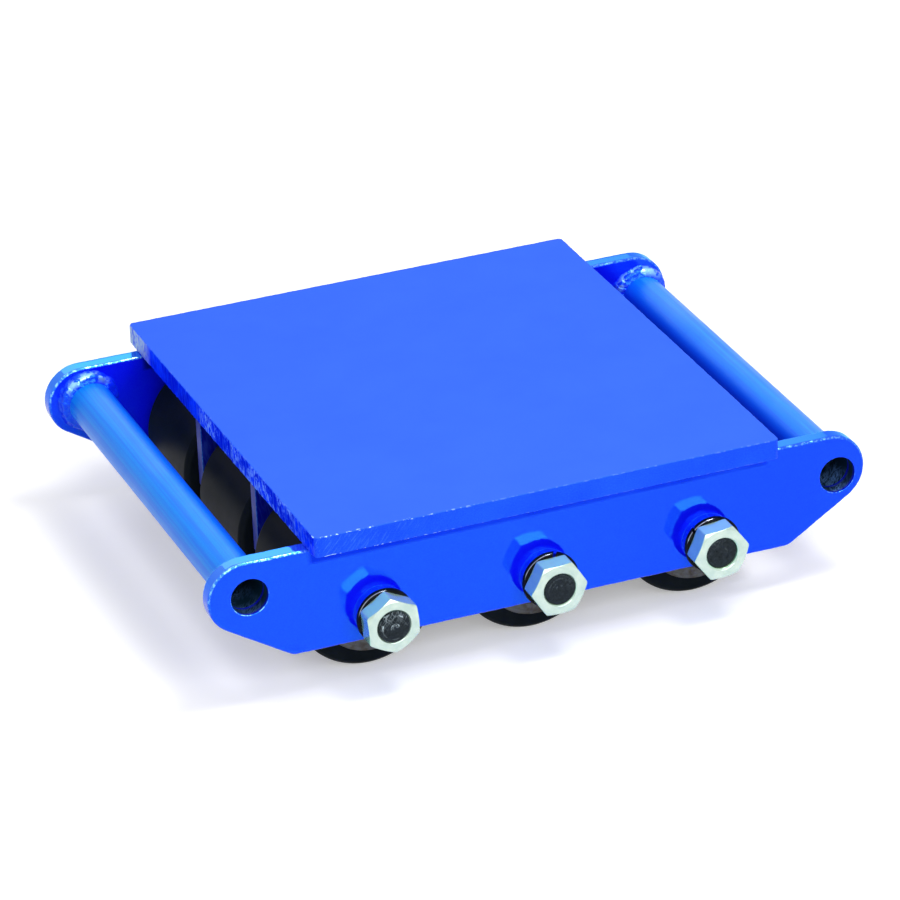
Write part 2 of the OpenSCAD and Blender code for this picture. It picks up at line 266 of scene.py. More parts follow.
def paintMaterial(name, look):
    # Glossy blue enamel. Its reflection is tinted, as the photograph shows it
    material, surface, vector = newMaterial(name)
    relief = useGroup(paintRelief, vector, Peel=look["peel"], Waves=look["waves"], Pits=look["pits"])
    tone = calc("MULTIPLY_ADD", relief["Grain"], look["grain"], times(relief["Mottle"], 1 - look["grain"]))
    colour = mixed(tone, look["deep"], look["base"])
    x, _, z = axesOf(vector)
    leftwards = ranged(x, *look["glintEnd"], 1.0, look["glintRest"])
    # Painted highlight: rims that face up take a lighter colour, more of it towards the left end
    upper = painted(surface, "crest")
    colour = mixed(times(upper, leftwards, look["crest"]), colour, look["crestHighlightColour"])
    if "inner" in look:
        # Painted light: a tube is lighter on top and on its outer side, and deeper towards the load plate, as
        # light falls on it
        facing = facingOf(surface)
        outward = times(facing[0], calc("SIGN", x))
        litSide = ranged(calc("ADD", outward, facing[2]), look["litSideFrom"], look["litSideTo"])
        colour = mixed(litSide, look["inner"], colour)
    height = relief["Height"]
    if "streak" in look:
        along = turnedTo(vector, look["streakTurn"])
        marks = useGroup(streaks, along, Fine=look["streakFine"], Length=look["streakLong"])
        colour = mixed(times(marks["Mask"], look["streak"]), colour, look["streakColour"])
        height = calc("MULTIPLY_ADD", marks["Height"], look["streakDepth"], height)
    # Painted highlights on the rims: a lighter band along the edge value, with broken pale glints over it,
    # more of them towards the left end
    edge = painted(surface, "edge")
    glints = useGroup(edgeGlints, vector, Edge=edge, Scale=look["glintScale"], Threshold=look["glintFrom"])
    glintMask = times(glints["Mask"], times(leftwards, look["glintShare"]))
    colour = mixed(times(edge, leftwards, look["rimHighlightShare"]), colour, look["rimHighlightColour"])
    colour = mixed(glintMask, colour, look["glintColour"])
    # Painted shade: a patchy dark band in the corner under the load plate's overhang
    patchy = ranged(relief["Mottle"], 0.3, 0.6, 0.6, 1.0)
    overhangShade = times(ranged(z, look["overhangShadeFrom"], look["overhangShadeFrom"] + look["overhangShadeDepth"]), patchy)
    beneath = ranged(calc("ABSOLUTE", x), look["overhangShadeEnd"] - look["overhangShadeFade"], look["overhangShadeEnd"], 1.0, 0.0)
    overhangShade = times(overhangShade, times(beneath, look["overhangShade"]))
    colour = mixed(overhangShade, colour, look["overhangShadeColour"])
    # The painted shade, the upward rims' painted highlight and the weld's painted glints mirror the light in
    # the paint's own blue
    rims = times(calc("SQRT", upper), look["crestMirror"])
    mirror = calc("MAXIMUM", times(overhangShade, look["overhangShadeMirror"]), rims)
    if "glintMirror" in look:
        mirror = calc("MAXIMUM", mirror, times(glintMask, look["glintMirror"]))
    # Towards the right the side plates turn more metallic, which darkens them there
    if "rightMirror" in look:
        mirror = calc("MAXIMUM", mirror, ranged(x, *look["rightRun"], 0.0, look["rightMirror"]))
    # A bore is painted near black, partly as bare steel and partly as painted shade, with rub marks on its
    # floor
    inside = painted(surface, "inside")
    width = look["rubWidth"]
    rubAndGlint = useGroup(scratches, vector, Scale=look["rubScale"], Share=look["rubShare"], Width=width)
    boreFloor = ranged(z, look["rubTop"] - look["rubFade"], look["rubTop"], look["rub"], 0.0)
    bore = mixed(times(rubAndGlint["Mask"], boreFloor), look["boreSteelShadeColour"], look["rubColour"])
    shine = ranged(relief["Mottle"], 0.3, 0.7, *(look["roughness"] * share for share in look["shineSwing"]))
    dress(surface, look, height, {
        "Base Color": mixed(times(inside, look["boreShare"]), colour, bore),
        "Roughness": calc("MULTIPLY_ADD", inside, look["boreRoughness"], shine),
        "Metallic": mirror,
    })
    return material


enamel = {
    "base": (0.005, 0.014, 1.0, 1), "deep": (0.001, 0.001, 0.97, 1), "grain": 0.6,
    "roughness": 0.045, "shineSwing": (0.85, 1.2), "ior": 1.73, "specular": 0.5,
    "tint": (0.08, 1.0, 1.0, 1), "peel": 900.0, "waves": 55.0, "pits": 70.0, "bump": 0.25,
    "bumpDepth": 0.00012, "glintShare": 0.95, "glintEnd": (-0.135, -0.09), "glintRest": 0.35,
    "glintFrom": 0.50, "glintScale": 520.0, "glintColour": (0.40, 0.92, 1.0, 1), "rimHighlightShare": 0.55,
    "rimHighlightColour": (0.03, 0.30, 1.0, 1), "crest": 0.8, "crestHighlightColour": (0.10, 0.27, 0.90, 1),
    "crestMirror": 0.75, "overhangShade": 0.0, "overhangShadeFrom": 0.0796, "overhangShadeDepth": 0.0018,
    "overhangShadeMirror": 0.85, "overhangShadeEnd": 0.141, "overhangShadeFade": 0.003,
    "overhangShadeColour": (0.001, 0.012, 0.62, 1), "boreSteelShadeColour": (0.006, 0.004, 0.005, 1),
    "boreShare": 0.97, "boreRoughness": 0.6, "rub": 1.0, "rubColour": (0.16, 0.32, 0.75, 1),
    "rubScale": 90.0, "rubShare": 0.3, "rubWidth": 0.06, "rubTop": 0.062, "rubFade": 0.006,
}
# Only the side plates carry the painted shade under the overhang
sidePaint = paintMaterial("sidePlateEnamel", {
    **enamel, "overhangShade": 0.9, "rightMirror": 0.24, "rightRun": (-0.03, 0.15),
})
# The tube's inner colour is painted shade on the side that faces the load plate
tubePaint = paintMaterial("tubeEnamel", {
    **enamel,
    "base": (0.003, 0.30, 0.99, 1), "deep": (0.002, 0.19, 0.97, 1), "inner": (0.001, 0.05, 0.99, 1),
    "litSideFrom": -0.5, "litSideTo": 0.9, "roughness": 0.38, "bump": 0.2,
    "ior": 1.5, "specular": 0.42, "tint": (0.0, 0.90, 1.0, 1), "streak": 0.45,
    "streakTurn": (quarterTurn, 0, 0), "streakFine": 650.0, "streakLong": 5.0,
    "streakColour": (0.003, 0.07, 0.9, 1), "streakDepth": 0.3,
})
weldPaint = paintMaterial("weldEnamel", {
    **enamel, "base": (0.004, 0.05, 0.98, 1), "roughness": 0.13, "bump": 0.15,
    "ior": 1.6, "tint": (0.15, 1.0, 1.0, 1), "glintShare": 1.0, "glintEnd": (9.0, 10.0), "glintFrom": 0.47,
    "glintScale": 150.0, "glintColour": (0.50, 1.0, 1.0, 1), "glintMirror": 0.85, "rimHighlightShare": 0.2,
})
bossPaint = paintMaterial("bossEnamel", {
    **enamel, "base": (0.004, 0.045, 1.0, 1), "roughness": 0.28, "specular": 0.4,
})
# Painted shade: the ribs' enamel is a much darker copy of the side plates' blue, for ribs that sit in shade
# between the tyres
ribShadedPaint = paintMaterial("ribShadedEnamel", {
    **enamel, "base": (0.002, 0.006, 0.34, 1), "deep": (0.001, 0.001, 0.22, 1),
    "roughness": 0.35, "ior": 1.45, "specular": 0.2, "glintShare": 0.12,
    "rimHighlightShare": 0.3, "streak": 0.5, "streakTurn": (0.0, 0.2, 0.0), "streakFine": 500.0,
    "streakLong": 80.0, "streakColour": (0.03, 0.07, 0.45, 1), "streakDepth": 0.8,
})
print("paint ready")


def plateMaterial(look):
    # Enamel with its top face painted lighter than its sides as painted light, ground marks on the front face
    # and a streaked cut at the left end
    material, surface, vector = newMaterial("loadPlateEnamel")
    relief = useGroup(paintRelief, vector, Peel=look["peel"], Waves=look["waves"], Pits=look["pits"])
    x, y, z = axesOf(vector)

    def fromEnd(near, far, rest=0.0):
        # 1 up to near metres from the left end, the rest from far metres on
        return ranged(x, look["endX"] + near, look["endX"] + far, 1.0, rest)

    mottle = ranged(relief["Mottle"], 0.35, 0.65)
    # Painted light: the top face takes a lighter copy of the enamel than the sides
    flat = mixed(mottle, look["top"], look["topDeep"])
    upper = ranged(z, look["topZ"] - 0.0006, look["topZ"] - 0.0001)
    tone = calc("MULTIPLY_ADD", relief["Grain"], look["grain"], times(mottle, 1 - look["grain"]))
    side = mixed(tone, look["side"], look["sideDeep"])
    # Ground marks run aslant over the near face beside its left corner
    aslant = turnedTo(vector, (0.0, math.radians(look["groundTurn"]), 0.0))
    ground = useGroup(streaks, aslant, Fine=1100.0, Length=110.0, Low=0.52, High=0.66)
    nearLeft = fromEnd(*look["groundRun"])
    side = mixed(times(ground["Mask"], nearLeft, look["groundShare"]), side, look["groundColour"])
    # The cut end: streaks down its height, paler towards the near half, and nearly bare at the far corner
    cut = fromEnd(0.0004, 0.0009)
    leaning = turnedTo(vector, (math.radians(look["tornTurn"]), 0.0, 0.0))
    torn = useGroup(streaks, leaning, Fine=430.0, Length=210.0, Low=0.48, High=0.55)
    patches = noiseOf(vector, look["tornScale"], 4.0, 0.7)
    nearHalf = ranged(y, *look["nearHalf"], 1.0, 0.02)
    nearHalf = times(nearHalf, ranged(y, *look["nearCorner"], 0.25, 1.0))
    amount = times(ranged(patches, 0.43, 0.51), nearHalf)
    deep = mixed(ranged(patches, 0.40, 0.58), look["cutDark"], look["cutDeep"])
    end = mixed(times(torn["Mask"], amount), deep, look["cutPale"])
    bareCorner = ranged(y, *look["bareCorner"])
    end = mixed(times(bareCorner, ranged(torn["Height"], 0.3, 0.55)), end, look["cutBare"])
    colour = mixed(upper, mixed(cut, side, end), flat)
    # Painted highlights: pale glints along the near top edge, fading out away from the left end
    glints = useGroup(
        edgeGlints, vector, Edge=painted(surface, "edge"), Scale=look["glintScale"], Threshold=look["glintFrom"],
    )
    fade = fromEnd(*look["glintRun"])
    nearEdge = ranged(y, look["nearY"] + 0.003, look["nearY"] + 0.006, 1.0, 0.08)
    dull = ranged(upper, 0.0, 1.0, look["sideRoughness"], look["topRoughness"])
    height = calc("MULTIPLY_ADD", times(torn["Height"], cut), look["tornDepth"], relief["Height"])
    height = calc("MULTIPLY_ADD", times(ground["Height"], nearLeft), look["groundDepth"], height)
    dress(surface, look, height, {
        "Base Color": mixed(times(glints["Mask"], fade, nearEdge), colour, look["edgeGlintColour"]),
        "Roughness": calc("MAXIMUM", times(cut, look["cutRoughness"]), dull),
        "Metallic": times(cut, look["cutMetal"]),
    })
    return material


plateLow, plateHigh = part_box("top_plate")
loadPaint = plateMaterial({
    "peel": 900.0, "waves": 40.0, "pits": 60.0, "grain": 0.6, "top": (0.036, 0.139, 0.97, 1),
    "topDeep": (0.033, 0.131, 0.96, 1), "side": (0.016, 0.110, 0.99, 1),
    "sideDeep": (0.006, 0.050, 0.97, 1), "groundShare": 0.5, "groundColour": (0.06, 0.22, 0.95, 1),
    "groundTurn": -38.0, "groundRun": (0.012, 0.095), "groundDepth": 0.5, "tornTurn": 14.0,
    "tornScale": 62.0, "tornDepth": 1.5, "nearHalf": (0.020, 0.036), "nearCorner": (-0.135, -0.115),
    "bareCorner": (0.117, 0.131), "cutDeep": (0.001, 0.034, 1.0, 1),
    "cutDark": (0.001, 0.004, 0.74, 1), "cutPale": (0.20, 0.38, 1.0, 1), "cutMetal": 0.85,
    "cutRoughness": 0.7, "cutBare": (0.48, 0.55, 0.72, 1), "edgeGlintColour": (0.60, 0.92, 1.0, 1),
    "glintFrom": 0.53, "glintScale": 330.0, "glintRun": (0.03, 0.11, 0.10), "topZ": plateHigh.z,
    "endX": plateLow.x, "nearY": plateLow.y, "topRoughness": 0.60, "sideRoughness": 0.22,
    "ior": 1.45, "specular": 0.08, "tint": (0.3, 1.0, 1.0, 1), "bump": 0.2, "bumpDepth": 0.0002,
})


def zincMaterial(look):
    # Satin zinc plate with faint handling scratches and a cloudy tone
    material, surface, vector = newMaterial("zincPlate")
    cloud = noiseOf(vector, look["cloud"], 4.0, 0.6)
    colour = mixed(ranged(cloud, 0.35, 0.65), look["dull"], look["bright"])
    marks = useGroup(scratches, vector, Scale=look["scratchScale"], Share=look["scratchFrom"])
    colour = mixed(times(marks["Mask"], look["scratchShare"]), colour, look["scratch"])
    # Painted reflection and highlight: the six flats take a cyan-blue tone for the blue plates mirrored in
    # them, lighter on the flats that face up, while the faced end keeps the plain zinc
    facing = facingOf(surface)
    flats = ranged(calc("ABSOLUTE", facing[1]), 0.35, 0.8, look["flatSheenShare"], 0.0)
    flatSheenTone = mixed(ranged(facing[2], 0.4, 0.9), look["flats"], look["litTopFlats"])
    height = calc("SUBTRACT", noiseOf(vector, look["grain"], 2.0), times(marks["Mask"], 0.1))
    dress(surface, look, height, {
        "Base Color": mixed(flats, colour, flatSheenTone),
        "Metallic": look["metallic"],
        "Roughness": ranged(cloud, 0.3, 0.7, look["smooth"], look["coarse"]),
    })
    return material


zinc = zincMaterial({
    "cloud": 160.0, "scratchScale": 90.0, "scratchFrom": 0.56, "scratchShare": 0.3,
    "dull": (0.48, 0.63, 0.56, 1), "bright": (0.60, 0.73, 0.64, 1),
    "scratch": (0.40, 0.48, 0.45, 1), "flats": (0.34, 0.92, 0.70, 1),
    "litTopFlats": (0.64, 1.0, 0.60, 1), "flatSheenShare": 0.75, "metallic": 0.65, "smooth": 0.12,
    "coarse": 0.20, "grain": 2400.0, "bump": 0.15, "bumpDepth": 0.00003,
})


def darkMetal(name, look):
    # Oxidised steel with pale scratches, more of them towards the rim of an axle's end. On an axle they and
    # the turning arcs show mostly on its upper part, so they are partly painted glints
    material, surface, vector = newMaterial(name)
    spots = noiseOf(vector, look["spots"], 4.0, 0.65)
    colour = mixed(ranged(spots, 0.4, 0.65), look["dark"], look["light"])
    width = look["scratchWidth"]
    marks = useGroup(scratches, vector, Scale=look["scratchScale"], Share=look["scratchShare"], Width=width)
    lathe = useGroup(latheMarks, vector, Lines=look["latheLines"])
    rim = ranged(lathe["Radius"], look["rimFrom"], look["rimTo"], look["inner"], 1.0)
    x, _, z = axesOf(vector)
    share = ranged(x, *look["leftRun"], look["scratch"], look["scratch"] * look["scratchRest"])
    rings = useGroup(latheMarks, vector, Lines=look["ringLines"])
    arcs = ranged(rings["Height"], look["ringFrom"], look["ringFrom"] + look["ringRun"])
    arcs = times(arcs, ranged(noiseOf(vector, look["patchScale"], 2.0), 0.5, 0.58))
    # Painted glints: the marks show fully only on the upper part
    above = ranged(z, look["upperFrom"], look["upperFrom"] + 0.003, look["lowerShare"], 1.0)
    marked = times(calc("MAXIMUM", times(marks["Mask"], rim), arcs), above)
    colour = mixed(times(marked, share), colour, look["scratchColour"])
    # Painted highlight, pale and metallic, where the mesh's edge value is high: the lit arc on a washer's
    # outer rim
    rubAndGlint = ranged(painted(surface, "edge"), look["arcGlintFrom"], look["arcGlintFrom"] + look["arcGlintRun"])
    arcGlint = times(rubAndGlint, ranged(spots, 0.35, 0.6, 0.7, 1.0))
    dress(surface, look, calc("MULTIPLY_ADD", lathe["Height"], 0.6, spots), {
        "Base Color": mixed(arcGlint, colour, look["arcGlintColour"]),
        "Metallic": arcGlint,
        "Roughness": ranged(spots, 0.3, 0.7, look["smooth"], look["coarse"]),
    })
    return material


metalLook = {
    "latheLines": 2200.0, "leftRun": (-0.07, -0.05), "ringRun": 0.08, "lowerShare": 0.12,
    "inner": 0.3, "bumpDepth": 0.0001,
}
axleSteel = darkMetal("axleSteel", {
    **metalLook,
    "dark": (0.006, 0.011, 0.015, 1), "light": (0.014, 0.022, 0.030, 1), "spots": 500.0,
    "scratch": 0.9, "scratchScale": 60.0, "scratchShare": 0.36, "scratchWidth": 0.03,
    "scratchRest": 0.12, "ringLines": 650.0, "ringFrom": 0.70, "patchScale": 170.0,
    "upperFrom": 0.0415, "arcGlintFrom": 0.0, "arcGlintRun": 1.0, "arcGlintColour": (0.4, 0.45, 0.5, 1),
    "scratchColour": (0.50, 0.62, 0.68, 1), "rimFrom": 0.003, "rimTo": 0.0085, "specular": 0.12,
    "smooth": 0.25, "coarse": 0.45, "bump": 0.3,
})
washerSteel = darkMetal("washerSteel", {
    **metalLook,
    "dark": (0.003, 0.004, 0.006, 1), "light": (0.007, 0.008, 0.012, 1), "spots": 300.0,
    "scratch": 0.3, "scratchScale": 150.0, "scratchShare": 0.5, "scratchWidth": 0.012,
    "scratchRest": 1.0, "ringLines": 900.0, "ringFrom": 0.9, "patchScale": 100.0, "upperFrom": 0.0,
    "arcGlintFrom": 0.70, "arcGlintRun": 0.15, "arcGlintColour": (0.50, 0.54, 0.60, 1),
    "scratchColour": (0.2, 0.25, 0.3, 1), "rimFrom": 0.010, "rimTo": 0.017, "specular": 0.05,
    "smooth": 0.09, "coarse": 0.16, "bump": 0.08,
})


def tyreMaterial(look):
    # Turned nylon: fine rings from the lathe, scuffs and dust
    material, surface, vector = newMaterial("tyreNylon")
    lathe = useGroup(latheMarks, vector, Lines=look["lines"])
    dust = noiseOf(vector, look["dustScale"], 5.0, 0.65)
    colour = mixed(ranged(dust, 0.42, 0.75), look["dark"], look["dusty"])
    marks = useGroup(scratches, vector, Scale=look["scuffScale"], Share=0.5)
    dress(surface, look, lathe["Height"], {
        "Base Color": mixed(times(marks["Mask"], look["scuffShare"]), colour, look["scuff"]),
        "Roughness": ranged(dust, 0.3, 0.7, look["smooth"], look["coarse"]),
    })
    return material


tyreNylon = tyreMaterial({
    "dark": (0.005, 0.008, 0.012, 1), "dusty": (0.010, 0.014, 0.018, 1),
    "scuff": (0.03, 0.034, 0.034, 1), "scuffScale": 40.0, "scuffShare": 0.25, "dustScale": 45.0,
    "lines": 1500.0, "smooth": 0.34, "coarse": 0.48, "specular": 0.03, "bump": 0.3,
    "bumpDepth": 0.00012,
})


def steelMaterial(name, look):
    # Turned steel, from clean to rusty: rust sits where a coarse noise is high
    material, surface, vector = newMaterial(name)
    lathe = useGroup(latheMarks, vector, Lines=look["lines"])
    coarse = noiseOf(vector, look["rustScale"], 6.0, 0.7)
    rust = ranged(coarse, look["rustFrom"], look["rustTo"])
    metal = mixed(lathe["Height"], look["dark"], look["bright"])
    dress(surface, look, calc("MULTIPLY_ADD", rust, 0.8, lathe["Height"]), {
        "Base Color": mixed(rust, metal, look["rust"]),
        "Metallic": calc("SUBTRACT", 1.0, times(rust, 0.9)),
        "Roughness": ranged(rust, 0.0, 1.0, look["smooth"], look["coarse"]),
    })
    return material


coreSteel = steelMaterial("coreSteel", {
    "lines": 900.0, "dark": (0.045, 0.048, 0.050, 1), "bright": (0.115, 0.118, 0.122, 1),
    "rust": (0.052, 0.043, 0.034, 1), "rustScale": 220.0, "rustFrom": 0.46, "rustTo": 0.60,
    "smooth": 0.34, "coarse": 0.75, "bump": 0.5, "bumpDepth": 0.0003,
})
bearingSteel = steelMaterial("bearingSteel", {
    "lines": 3000.0, "dark": (0.45, 0.46, 0.48, 1), "bright": (0.62, 0.63, 0.65, 1),
    "rust": (0.22, 0.16, 0.11, 1), "rustScale": 300.0, "rustFrom": 0.62, "rustTo": 0.75,
    "smooth": 0.22, "coarse": 0.55, "bump": 0.15, "bumpDepth": 0.0003,
})
print("metals and nylon ready")


# Surfaces worked out as whole arrays

def gridFaces(rows, columns, wrapRows, wrapColumns):
    ranges = np.arange(rows - (not wrapRows)), np.arange(columns - (not wrapColumns))
    i, j = np.meshgrid(*ranges, indexing="ij")
    nextI, nextJ = (i + 1) % rows, (j + 1) % columns
    corners = (i * columns + j, i * columns + nextJ, nextI * columns + nextJ, nextI * columns + j)
    return np.stack(corners, -1).reshape(-1, 4)


def endFaces(rows, columns):
    # One face over the first row and one over the last
    return [np.arange(columns)[None], (rows - 1) * columns + np.arange(columns)[None]]


def wander(s, total, wave, seed, parts=6):
    # Sum of cosines with whole numbers of waves round the total, seeded phases, less weight on the short ones
    chance = np.random.default_rng(seed)
    cycles = np.maximum(1, np.round(total / wave * np.linspace(0.6, 4.0, parts)))
    phases = chance.random(parts) * fullTurn
    weights = 1 / np.sqrt(cycles / cycles[0])
    waves = np.cos(fullTurn * cycles[:, None] * np.asarray(s)[None, :] / total + phases[:, None])
    return (weights[:, None] * waves).sum(0) / weights.sum()


def evenly(path, spacing):
    # The closed path walked in equal steps, with its length
    ring = np.vstack([path, path[:1]])
    steps = np.hypot(*np.diff(ring, axis=0).T)
    along = np.concatenate([[0], np.cumsum(steps)])
    count = int(round(along[-1] / spacing))
    s = np.arange(count) * along[-1] / count
    return np.stack([np.interp(s, along, ring[:, k]) for k in (0, 1)], -1), s, along[-1]


def outwardOf(loop):
    # Unit normals to the right of the walk, which is outwards when the walk runs anticlockwise
    run = np.roll(loop, -1, 0) - np.roll(loop, 1, 0)
    run /= np.hypot(run[:, 0], run[:, 1])[:, None]
    return np.stack([run[:, 1], -run[:, 0]], -1)


def arc(centre, radius, start, end, steps=24):
    a = np.linspace(start, end, steps)
    return np.stack([centre[0] + radius * np.cos(a), centre[1] + radius * np.sin(a)], -1)


def softened(corners, radii, steps=5):
    # Each corner C of the closed profile gives way to the curve (1-t)^2 A + 2t(1-t) C + t^2 B, where A and B
    # lie on its edges
    corners = np.asarray(corners, float)
    if corners.ndim == 2:
        corners = corners[:, None, :]
    radii = np.broadcast_to(radii, len(corners))[:, None, None]
    ends = []
    for other in (np.roll(corners, 1, 0), np.roll(corners, -1, 0)):
        away = other - corners
        length = np.maximum(np.linalg.norm(away, axis=-1, keepdims=True), 1e-9)
        ends.append(corners + away / length * np.minimum(radii, 0.48 * length))
    t = np.linspace(0, 1, steps)[:, None, None, None]
    curve = (1 - t) ** 2 * ends[0] + 2 * t * (1 - t) * corners + t ** 2 * ends[1]
    return np.swapaxes(curve, 0, 1).reshape(-1, *corners.shape[1:])


def turned(profile, x, z, steps=96, closed=True):
    # A profile of radius and place, carried round an axle: x + r cos a, y, z + r sin a
    a = np.arange(steps) * fullTurn / steps
    if profile.ndim == 2:
        profile = profile[:, None, :]
    r, y = (np.broadcast_to(profile[..., k], (len(profile), steps)) for k in (0, 1))
    points = np.stack([x + r * np.cos(a), y, z + r * np.sin(a)], -1)
    return {"points": points.reshape(-1, 3), "faces": [gridFaces(len(profile), steps, closed, True)]}


insideFrom, insideRun = 0.0006, 0.0018


def slab(loops, edges, low, high, place, relief=None, lit=None, arcSteps=6, middle=6):
    # Every loop is carried from low to high. Near both faces it draws in along a quarter circle of its own
    # radius e: inset e (1 - sin a), height e (1 - cos a). The flat faces fill the space between the loops
    turn = np.linspace(0, quarterTurn, arcSteps)[:, None]
    share = np.linspace(0, 1, middle + 2)[1:-1, None]
    part = {"points": [], "edge": [], "inside": [], "crest": []}
    faces, lowerRows, upperRows, start = [], [], [], 0
    for k, (loop, edge) in enumerate(zip(loops, edges)):
        e = np.broadcast_to(edge, len(loop))[None, :]
        between = (low + e) + share * (high - low - 2 * e)

        def mirrored(rim, wall):
            return np.vstack([rim, wall * np.ones_like(between), rim[::-1]])

        rise = e * (1 - np.cos(turn))
        heights = np.vstack([low + rise, between, (high - rise)[::-1]])
        insets = mirrored(e * (1 - np.sin(turn)), 0)
        # The edge value peaks mid-way round each rounded edge; with lit it leans towards rims that face up,
        # for painted highlights
        bright = mirrored(np.sin(2 * turn) * np.ones_like(e), 0)
        outwards = outwardOf(loop)
        if lit is not None:
            bright = bright * np.clip(lit[0] + lit[1] * outwards[None, :, 1], 0, 1)
        if relief is not None:
            insets = insets + relief(np.broadcast_to(loop, (len(heights), *loop.shape)), heights)
        flat = loop[None] - outwards[None] * insets[..., None]
        part["points"].append(place(flat[..., 0], flat[..., 1], heights).reshape(-1, 3))
        part["edge"].append(bright.ravel())
        # Only holes are dark inside, from insideFrom metres below either face on
        deep = np.clip((np.minimum(heights - low, high - heights) - insideFrom) / insideRun, 0, 1)
        part["inside"].append((deep * (k > 0)).ravel())
        # How far an outer rim faces up, for a painted highlight
        upwards = np.clip(outwards[None, :, 1], 0, 1) * (k == 0) * (lit is not None)
        part["crest"].append((upwards * mirrored(np.sin(turn) * np.ones_like(e), 1)).ravel())
        faces.append(gridFaces(len(heights), len(loop), False, True) + start)
        lowerRows.append(start + np.arange(len(loop)))
        upperRows.append(start + (len(heights) - 1) * len(loop) + np.arange(len(loop)))
        start += heights.size
    part = {label: np.concatenate(values) for label, values in part.items()}
    for rows in (lowerRows, upperRows):
        filled = tessellate_polygon([[Vector(point) for point in part["points"][row]] for row in rows])
        faces.append(np.concatenate(rows)[np.array(filled)])
    return {**part, "faces": faces}


beadSteps, beadSink = 10, 0.0002


def bead(corner, alongA, alongB, leg, closed, lit=None):
    # A quarter round between two walls, carried along their corner: corner + leg (cos p B + sin p A), with p
    # from 0 to a quarter turn. It is sunk a little into both walls
    p = np.linspace(0, quarterTurn, beadSteps)[None, :, None]
    root = (corner - beadSink * (alongA + alongB))[:, None]
    crown = corner[:, None] + leg[..., None] * (np.cos(p) * alongB[:, None] + np.sin(p) * alongA[:, None])
    crown = crown - beadSink * (alongA + alongB)[:, None]
    points = np.concatenate([root, crown], 1)
    rows, columns = points.shape[:2]
    # The edge value carries a painted highlight: it peaks mid-way over the bead, weighted by lit
    bright = np.concatenate([[0], np.sin(2 * p[0, :, 0]) ** 2])[None, :]
    edge = bright * (np.zeros(rows) if lit is None else lit)[:, None]
    faces = [gridFaces(rows, columns, closed, True)] + ([] if closed else endFaces(rows, columns))
    return {"points": points.reshape(-1, 3), "faces": faces, "edge": edge.ravel()}


def addPiece(name, parts, material, body, slot, *nodes, sharp=38):
    points = np.vstack([part["points"] for part in parts])
    starts = np.cumsum([0] + [len(part["points"]) for part in parts])
    blocks = [block + start for part, start in zip(parts, starts) for block in part["faces"]]
    faces = [face for block in blocks for face in block.tolist()]
    mesh = bpy.data.meshes.new(name)
    mesh.from_pydata(points.tolist(), [], faces)
    for label in ("edge", "inside", "crest"):
        values = [part.get(label, np.zeros(len(part["points"]))) for part in parts]
        attribute = mesh.attributes.new(label, "FLOAT", "POINT")
        attribute.data.foreach_set("value", np.concatenate(values).astype(np.float32))
    work = bmesh.new()
    work.from_mesh(mesh)
    bmesh.ops.remove_doubles(work, verts=work.verts, dist=1e-6)
    bmesh.ops.recalc_face_normals(work, faces=work.faces)
    work.to_mesh(mesh)
    work.free()
    mesh.polygons.foreach_set("use_smooth", np.ones(len(mesh.polygons), bool))
    mesh.set_sharp_from_angle(angle=math.radians(sharp))
    mesh.materials.append(material)
    piece = bpy.data.objects.new(name, mesh)
    scene.collection.objects.link(piece)
    shading = piece.modifiers.new("evenShading", "WEIGHTED_NORMAL")
    shading.keep_sharp = True
    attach(piece, body)
    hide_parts(*nodes)
    return piece


def onXY(u, v, h):
    return np.stack([u, v, h], -1)


def onXZ(u, v, h):
    return np.stack([u, h, v], -1)


# Load plate: a rounded rectangle, sheared, so that its edges wander and its left end is torn
plateShape = {
    "corner": 0.003, "spacing": 0.0009, "edge": 0.0008, "edgeSwing": 0.5, "edgeWave": 0.010,
    "wave": 0.00012, "waveLength": 0.05, "leftFrom": 0.002, "leftRun": 0.001, "nick": 0.0009,
    "nickWave": 0.012, "nickFrom": 0.15, "tear": 0.00045, "tearWaves": (0.0013, 0.0047),
    "tearSlant": 90.0, "fineShare": 0.6, "fineWave": 0.0007, "fineSlant": 240.0,
}


def makeLoadPlate(shape):
    half = np.array([plateHigh.x, plateHigh.y])
    middle = half - shape["corner"]
    signs = ((1, -1), (1, 1), (-1, 1), (-1, -1))
    outline = np.vstack([
        arc(middle * sign, shape["corner"], (k - 1) * quarterTurn, k * quarterTurn, 9)
        for k, sign in enumerate(signs)
    ])
    loop, s, total = evenly(outline, shape["spacing"])

    def atLeft(x):
        return np.clip((-x - half[0] + shape["leftFrom"]) / shape["leftRun"], 0, 1)

    edge = shape["edge"] * (1 + shape["edgeSwing"] * wander(s, total, shape["edgeWave"], 3))
    nicks = np.clip(wander(s, total, shape["nickWave"], 8) - shape["nickFrom"], 0, 1)
    edge = edge + atLeft(loop[:, 0]) * shape["nick"] * nicks

    def relief(path, heights):
        # Two slanting sets of furrows at the left end, the finer one shallower, and a slow wave all round
        y, rise = path[..., 1], heights - plateLow.z
        first, second = shape["tearWaves"]
        tears = np.cos(y / first + rise * shape["tearSlant"]) * np.cos(y / second + 1.3)
        tears = tears + shape["fineShare"] * np.cos(y / shape["fineWave"] - rise * shape["fineSlant"])
        wave = shape["wave"] * (1 + wander(s, total, shape["waveLength"], 21))[None, :]
        return wave + atLeft(path[..., 0]) * shape["tear"] * np.clip(0.5 + 0.3 * tears, 0, 1)

    part = slab([loop], [edge], plateLow.z, plateHigh.z, onXY, relief)
    addPiece("loadPlate", [part], loadPaint, "frame", "plate_paint", "top_plate")


makeLoadPlate(plateShape)
print("load plate made")

